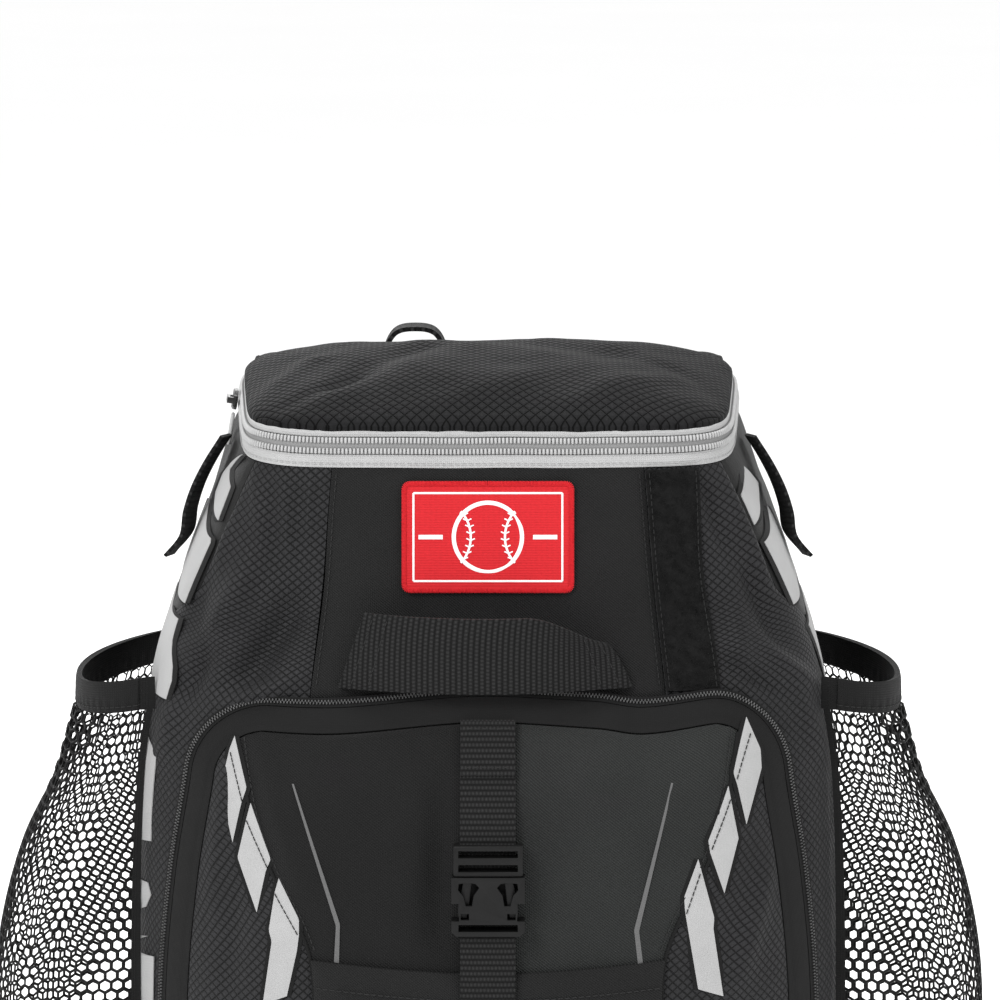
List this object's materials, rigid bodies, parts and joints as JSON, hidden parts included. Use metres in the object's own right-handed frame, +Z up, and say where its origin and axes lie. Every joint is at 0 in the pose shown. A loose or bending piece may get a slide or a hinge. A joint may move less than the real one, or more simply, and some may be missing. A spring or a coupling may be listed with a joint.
{
  "type": "baseball bat backpack",
  "caption": "Backpack with a zipped lid, a bulging front pocket under a buckled flap, a net bat pocket on each side, a carry handle and padded shoulder straps.",
  "frame": {"origin": "middle of the flat base, on the floor", "axes": "+Z up, -Y towards the front pocket, +X to the right as seen from the front"},
  "size_m": [0.4736, 0.289, 0.4793],
  "materials": {
    "ripstop": "coated ripstop with a raised diamond grid",
    "twill": "fine diagonal twill",
    "black_nylon": "smooth plain nylon",
    "padded_mesh": "padded air mesh",
    "grey_tape": "light grey woven zipper tape",
    "grey_coil": "light grey nylon zipper coil",
    "black_tape": "black woven zipper tape",
    "black_coil": "black nylon zipper coil",
    "webbing": "ribbed black webbing",
    "loop_tape": "black loop fastener pile",
    "badge_cloth": "red embroidered patch",
    "net": "black hexagon mesh",
    "buckle_plastic": "moulded black acetal",
    "slider_metal": "black coated zinc",
    "pull_cord": "light grey braided cord"
  },
  "bodies": {
    "root": {"yoke_panel": "twill", "front_wall": "twill", "side_panel_left": "ripstop", "side_panel_right": "ripstop", "gusset_left": "black_nylon", "gusset_right": "black_nylon", "back_panel": "padded_mesh", "base_panel": "twill", "lid": "ripstop", "lid_tape_lower": "grey_tape", "lid_coil": "grey_coil", "lid_tape_upper": "grey_tape", "lid_slider": "slider_metal", "lid_puller": "pull_cord", "pocket_coil": "black_coil", "pocket_tape": "black_tape", "front_flap": "twill", "pocket_side_left": "ripstop", "pocket_side_right": "ripstop", "lower_pocket": "twill", "pocket_slider": "slider_metal", "flap_strap_upper": "webbing", "flap_strap_lower": "webbing", "buckle_socket": "buckle_plastic", "buckle_plug": "buckle_plastic", "carry_handle": "webbing", "badge": "badge_cloth", "loop_strip": "loop_tape", "net_left": "net", "net_right": "net", "net_binding_left": "webbing", "net_binding_right": "webbing", "bat_strap_left": "webbing", "bat_strap_right": "webbing", "shoulder_pad_left": "padded_mesh", "shoulder_pad_right": "padded_mesh", "ladder_lock_left": "buckle_plastic", "ladder_lock_right": "buckle_plastic", "strap_webbing_left": "webbing", "strap_webbing_right": "webbing", "haul_loop": "webbing"}
  },
  "joints": []
}
